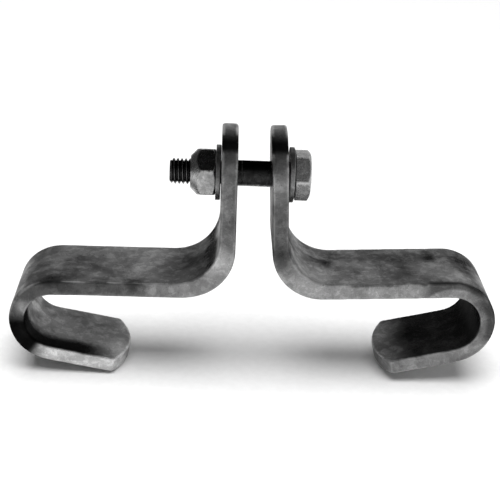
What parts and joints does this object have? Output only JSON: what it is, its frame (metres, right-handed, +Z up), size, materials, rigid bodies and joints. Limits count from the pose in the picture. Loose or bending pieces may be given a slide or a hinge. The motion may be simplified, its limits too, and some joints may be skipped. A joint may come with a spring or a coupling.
{
  "type": "two-jaw strap clamp",
  "caption": "Two bent flat-bar straps with in-turned hooks, drawn together by a hexagon bolt and nut through their round-topped legs; grips a beam flange and carries a hanger on the bolt.",
  "frame": {"origin": "on the bolt axis, midway between the inner faces of the two legs", "axes": "+X along the bolt to its head, +Y across the bars, +Z up from the hooks to the legs' round tops"},
  "size_m": [0.241, 0.0444, 0.1262],
  "materials": {
    "jaw_steel": "plain hot-rolled bar, dull mill scale with worn edges",
    "fastener_steel": "plain black steel, slightly oily, worn on the corners",
    "washer_steel": "plain stamped steel, dull"
  },
  "bodies": {
    "bolt": {"bolt": "fastener_steel"},
    "left_washer": {"left_washer": "washer_steel"},
    "nut": {"nut": "fastener_steel"},
    "left_jaw": {"left_jaw": "jaw_steel"},
    "right_washer": {"right_washer": "washer_steel"},
    "right_jaw": {"right_jaw": "jaw_steel"}
  },
  "joints": [
    {"name": "nut_travel", "type": "slide", "parent": "bolt", "child": "left_washer", "axis": [1, 0, 0], "range_m": [-0.00976, 0.00683]},
    {"name": "nut_spin", "type": "hinge", "parent": "left_washer", "child": "nut", "pos_m": [-0.02814, 0, 0], "axis": [1, 0, 0], "range_deg": [-1800, 1260]},
    {"name": "left_jaw_swing", "type": "hinge", "parent": "left_washer", "child": "left_jaw", "pos_m": [-0.01217, 0, 0], "axis": [1, 0, 0], "continuous": true},
    {"name": "right_jaw_slide", "type": "slide", "parent": "bolt", "child": "right_washer", "axis": [-1, 0, 0], "range_m": [0, 0.0075]},
    {"name": "right_jaw_swing", "type": "hinge", "parent": "right_washer", "child": "right_jaw", "pos_m": [0.01217, 0, 0], "axis": [1, 0, 0], "continuous": true}
  ],
  "couplings": [
    {"joint": "nut_spin", "follows": "nut_travel", "rad_per_m": 3215.8}
  ]
}
